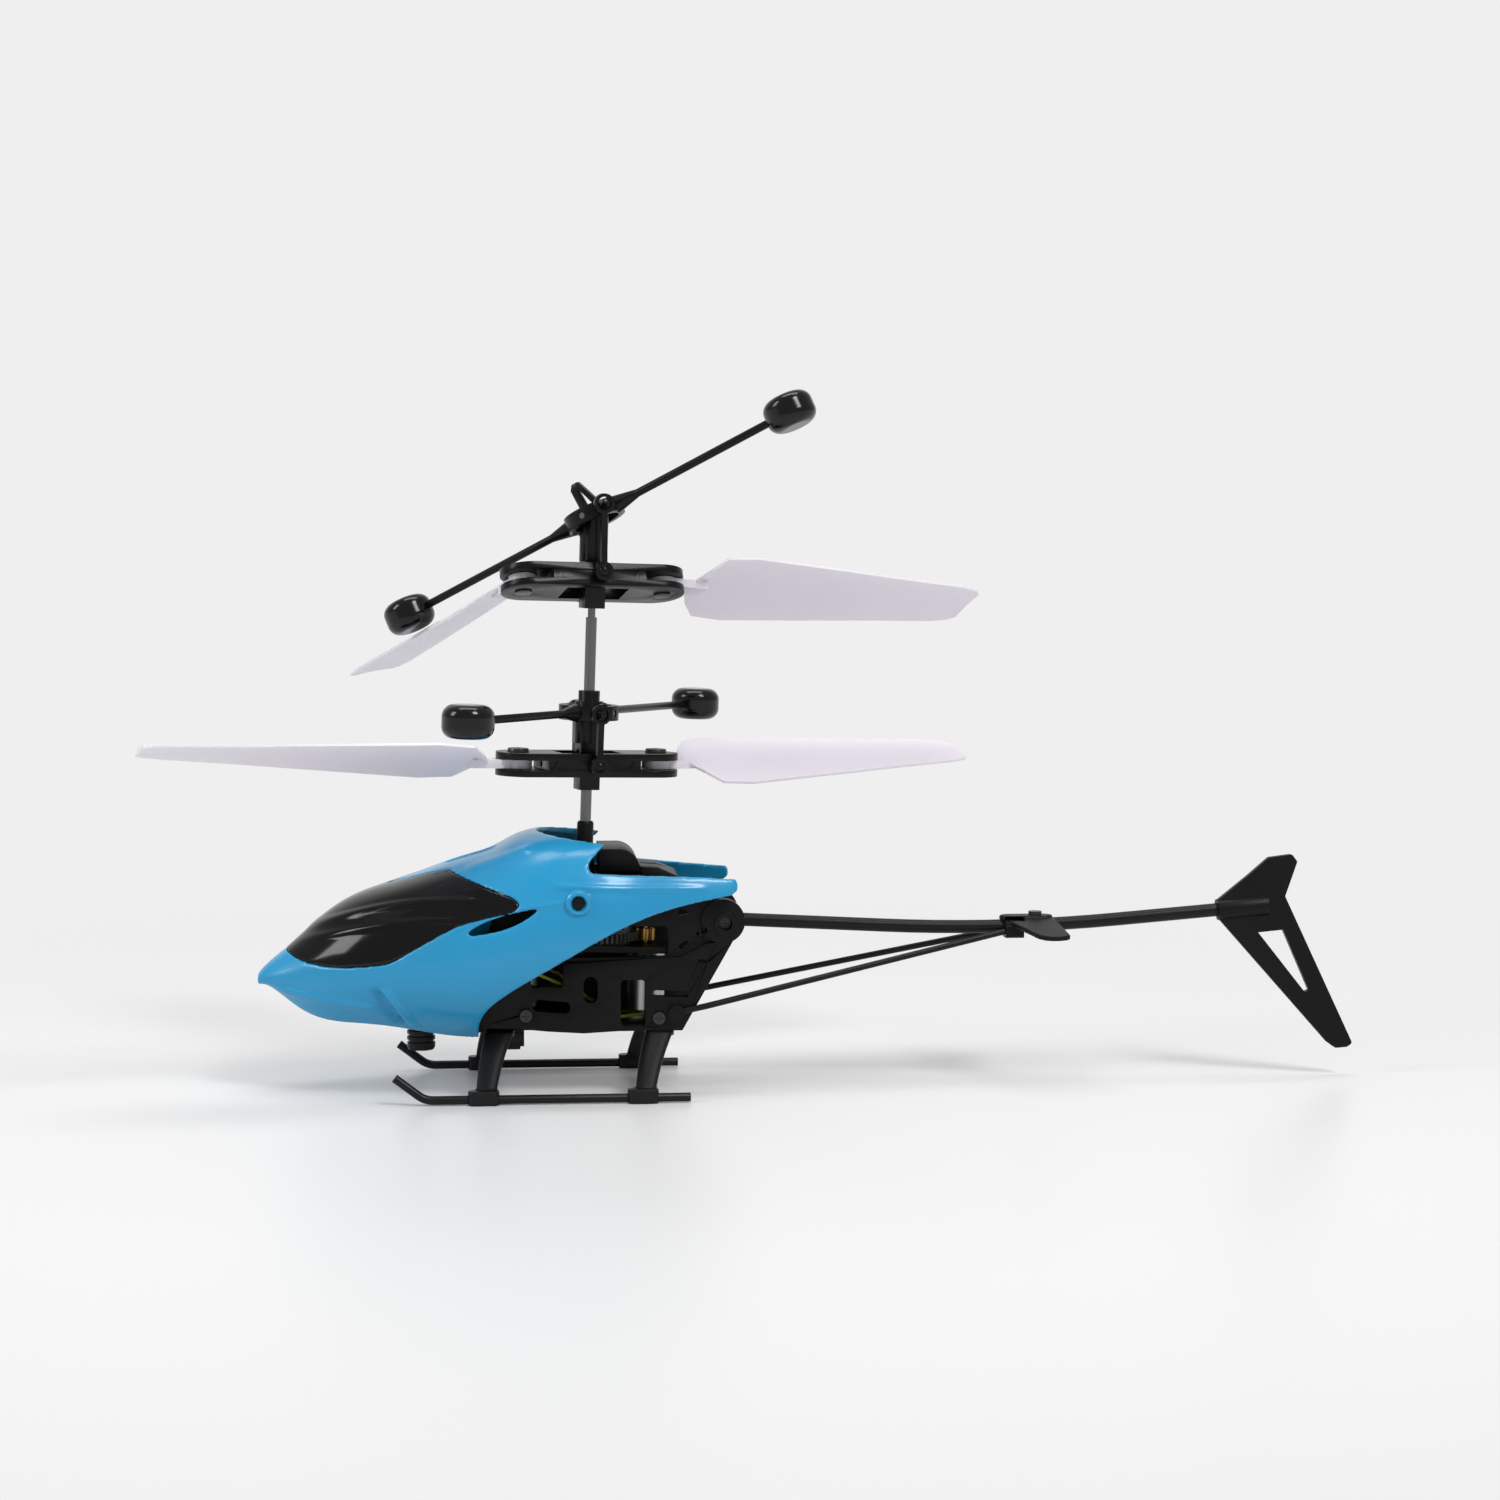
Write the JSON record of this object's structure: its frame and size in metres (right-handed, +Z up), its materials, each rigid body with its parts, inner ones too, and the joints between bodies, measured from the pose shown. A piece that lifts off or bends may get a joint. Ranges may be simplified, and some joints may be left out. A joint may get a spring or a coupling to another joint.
{
  "type": "coaxial remote control helicopter",
  "caption": "Small indoor helicopter with two contra-rotating two-blade rotors, weighted flybars, moulded canopy, open side frame, tail boom with fin, and landing skids",
  "frame": {"origin": "on the ground under the skids, in the fuselage's middle plane, straight below where the mast leaves its collar", "axes": "nose towards -X and tail towards +X, +Z up, +Y towards the helicopter's right side"},
  "size_m": [0.199, 0.0885, 0.1135],
  "materials": {
    "body_blue": "smooth blue moulding",
    "window_black": "polished black",
    "weight_black": "polished black",
    "frame_black": "fine matte texture",
    "leg_black": "fine matte texture",
    "boom_black": "satin tube",
    "rotor_black": "satin moulding",
    "blade_plastic": "translucent white, slightly lilac",
    "steel": "drawn steel",
    "screw_steel": "blackened steel",
    "motor_can": "drawn steel can",
    "brass": "turned brass",
    "gear_nylon": "moulded nylon",
    "board_green": "green board",
    "chip_black": "moulded chips",
    "battery_wrap": "silver wrap",
    "lead_yellow": "insulated wire",
    "lamp_clear": "clear lens"
  },
  "bodies": {
    "airframe": {"battery": "battery_wrap", "battery_tray": "frame_black", "board_chips": "chip_black", "boom_block": "frame_black", "canopy_pegs": "frame_black", "canopy_shell": "body_blue", "canopy_window": "window_black", "charge_socket": "leg_black", "circuit_board": "board_green", "frame_far_side": "frame_black", "frame_floor": "frame_black", "frame_near_side": "frame_black", "front_legs": "leg_black", "front_motor": "motor_can", "gear_deck": "frame_black", "mast_collar": "frame_black", "motor_leads": "lead_yellow", "nose_lamp": "lamp_clear", "rear_cover": "frame_black", "rear_legs": "leg_black", "rear_motor": "motor_can", "receiver_housing": "leg_black", "shaft_bushes": "brass", "skids": "leg_black", "small_screws": "screw_steel", "stabiliser": "frame_black", "strut_clip": "frame_black", "strut_knobs": "frame_black", "switch_housing": "frame_black", "tail_boom": "boom_black", "tail_deck": "frame_black", "tail_fin": "frame_black", "tail_struts": "boom_black"},
    "inner_mast": {"inner_shaft": "steel", "inner_shaft_gear": "gear_nylon", "upper_head": "rotor_black", "upper_head_pins": "steel"},
    "outer_mast": {"outer_shaft": "steel", "outer_shaft_gear": "gear_nylon", "lower_head": "rotor_black", "lower_head_pins": "steel"},
    "upper_holder": {"upper_blade_holder": "rotor_black", "upper_blade_bolts": "screw_steel"},
    "lower_holder": {"lower_blade_holder": "rotor_black", "lower_blade_bolts": "screw_steel"},
    "upper_bar": {"upper_flybar": "rotor_black", "upper_flybar_weights": "weight_black"},
    "lower_bar": {"lower_flybar": "rotor_black", "lower_flybar_weights": "weight_black"},
    "front_drive": {"front_pinion": "brass"},
    "rear_drive": {"rear_pinion": "brass"},
    "switch_slider": {"switch_knob": "leg_black"},
    "upper_left_wing": {"upper_left_blade": "blade_plastic"},
    "upper_right_wing": {"upper_right_blade": "blade_plastic"},
    "upper_near_rod": {"upper_near_link": "rotor_black"},
    "upper_far_rod": {"upper_far_link": "rotor_black"},
    "lower_left_wing": {"lower_left_blade": "blade_plastic"},
    "lower_right_wing": {"lower_right_blade": "blade_plastic"},
    "lower_near_rod": {"lower_near_link": "rotor_black"},
    "lower_far_rod": {"lower_far_link": "rotor_black"}
  },
  "joints": [
    {"name": "upper_spin", "type": "hinge", "parent": "airframe", "child": "inner_mast", "pos_m": [0.00129, 0, 0.08265], "axis": [0.0332, 0, 0.9995], "continuous": true},
    {"name": "lower_spin", "type": "hinge", "parent": "airframe", "child": "outer_mast", "pos_m": [0.00031, 0, 0.05307], "axis": [0.0332, 0, 0.9995], "continuous": true},
    {"name": "upper_teeter", "type": "hinge", "parent": "inner_mast", "child": "upper_bar", "pos_m": [0.00165, 0, 0.09345], "axis": [0.4692, 0.8829, -0.0156], "range_deg": [0, 54]},
    {"name": "lower_teeter", "type": "hinge", "parent": "outer_mast", "child": "lower_bar", "pos_m": [0.00059, 0, 0.06152], "axis": [-0.8567, 0.515, 0.0284], "range_deg": [-20, 20]},
    {"name": "upper_feather", "type": "hinge", "parent": "inner_mast", "child": "upper_holder", "pos_m": [0.00129, 0, 0.08265], "axis": [0.9654, 0.2588, -0.032], "range_deg": [-0.4, 38.4]},
    {"name": "lower_feather", "type": "hinge", "parent": "outer_mast", "child": "lower_holder", "pos_m": [0.00031, 0, 0.05307], "axis": [0.9607, 0.2756, -0.0319], "range_deg": [-14.47, 14.47]},
    {"name": "upper_near_rod_swing", "type": "hinge", "parent": "upper_holder", "child": "upper_near_rod", "pos_m": [0.0029, -0.00576, 0.08464], "axis": [0.9654, 0.2588, -0.032], "range_deg": [-38.4, 0.4]},
    {"name": "upper_far_rod_swing", "type": "hinge", "parent": "upper_holder", "child": "upper_far_rod", "pos_m": [-0.00032, 0.00576, 0.08067], "axis": [0.9654, 0.2588, -0.032], "range_deg": [-38.4, 0.4]},
    {"name": "lower_near_rod_swing", "type": "hinge", "parent": "lower_holder", "child": "lower_near_rod", "pos_m": [0.00205, -0.00606, 0.05301], "axis": [0.9607, 0.2756, -0.0319], "range_deg": [-14.47, 14.47]},
    {"name": "lower_far_rod_swing", "type": "hinge", "parent": "lower_holder", "child": "lower_far_rod", "pos_m": [-0.00143, 0.00606, 0.05313], "axis": [0.9607, 0.2756, -0.0319], "range_deg": [-14.47, 14.47]},
    {"name": "upper_left_fold", "type": "hinge", "parent": "upper_holder", "child": "upper_left_wing", "pos_m": [-0.0101, -0.00305, 0.08303], "axis": [-0.0524, 0.3128, 0.9484], "range_deg": [-10, 0]},
    {"name": "upper_right_fold", "type": "hinge", "parent": "upper_holder", "child": "upper_right_wing", "pos_m": [0.01268, 0.00305, 0.08228], "axis": [-0.0524, 0.3128, 0.9484], "range_deg": [-107, 83]},
    {"name": "lower_left_fold", "type": "hinge", "parent": "lower_holder", "child": "lower_left_wing", "pos_m": [-0.01103, -0.00325, 0.05345], "axis": [0.0332, 0, 0.9995], "range_deg": [-70, 95]},
    {"name": "lower_right_fold", "type": "hinge", "parent": "lower_holder", "child": "lower_right_wing", "pos_m": [0.01165, 0.00325, 0.05269], "axis": [0.0332, 0, 0.9995], "range_deg": [-108, 82]},
    {"name": "front_pinion_spin", "type": "hinge", "parent": "airframe", "child": "front_drive", "pos_m": [-0.01103, 0, 0.02333], "axis": [0.0332, 0, 0.9995], "continuous": true},
    {"name": "rear_pinion_spin", "type": "hinge", "parent": "airframe", "child": "rear_drive", "pos_m": [0.00966, 0, 0.02264], "axis": [0.0332, 0, 0.9995], "continuous": true},
    {"name": "switch_slide", "type": "slide", "parent": "airframe", "child": "switch_slider", "axis": [1, 0, 0], "range_m": [-0.002, 0]}
  ],
  "couplings": [
    {"joint": "upper_feather", "follows": "upper_teeter", "ratio": 0.70365},
    {"joint": "lower_feather", "follows": "lower_teeter", "ratio": -0.70365},
    {"joint": "upper_near_rod_swing", "follows": "upper_teeter", "ratio": -0.70365},
    {"joint": "upper_far_rod_swing", "follows": "upper_teeter", "ratio": -0.70365},
    {"joint": "lower_near_rod_swing", "follows": "lower_teeter", "ratio": 0.70365},
    {"joint": "lower_far_rod_swing", "follows": "lower_teeter", "ratio": 0.70365},
    {"joint": "front_pinion_spin", "follows": "lower_spin", "ratio": -6.6667},
    {"joint": "rear_pinion_spin", "follows": "upper_spin", "ratio": -6.6667}
  ]
}
